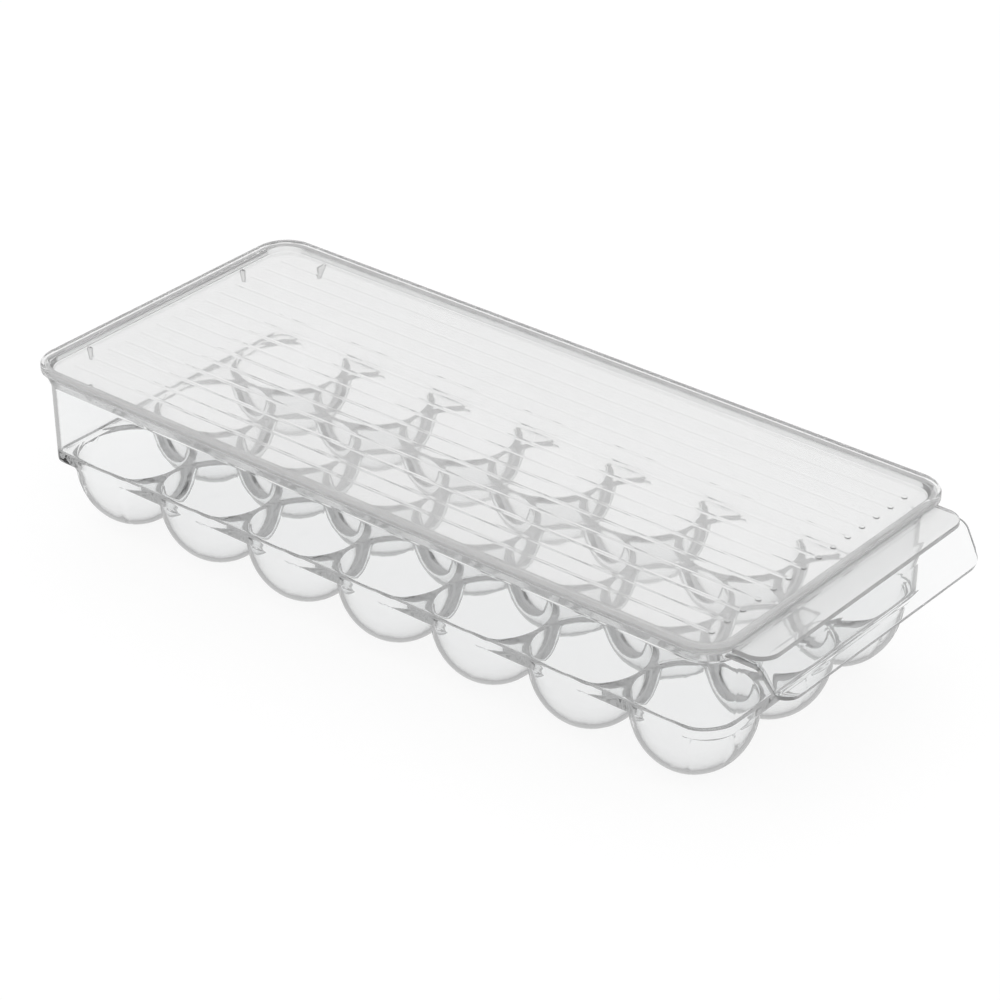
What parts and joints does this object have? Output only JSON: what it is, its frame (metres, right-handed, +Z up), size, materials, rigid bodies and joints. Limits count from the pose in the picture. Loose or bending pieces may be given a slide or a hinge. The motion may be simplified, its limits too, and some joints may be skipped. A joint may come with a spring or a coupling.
{
  "type": "covered egg holder",
  "caption": "Clear moulded fridge tray with rows of round cups, a finger handle at one end and a flat lift-off lid with a raised edge.",
  "frame": {"origin": "on the supporting surface, under the middle of the holder's bounding box, handle and lid included", "axes": "+Z up, +X towards the handle, long sides along X"},
  "size_m": [0.3725, 0.1568, 0.0758],
  "materials": {
    "tray_clear_plastic": "clear, glossy",
    "lid_clear_plastic": "clear, glossy, faintly milky on the ribbed plate"
  },
  "bodies": {
    "tray": {"tray": "tray_clear_plastic"},
    "lid": {"lid": "lid_clear_plastic"}
  },
  "joints": [
    {"name": "lid_lift", "type": "slide", "parent": "tray", "child": "lid", "axis": [0, 0, 1], "range_m": [0, 0.08]}
  ]
}
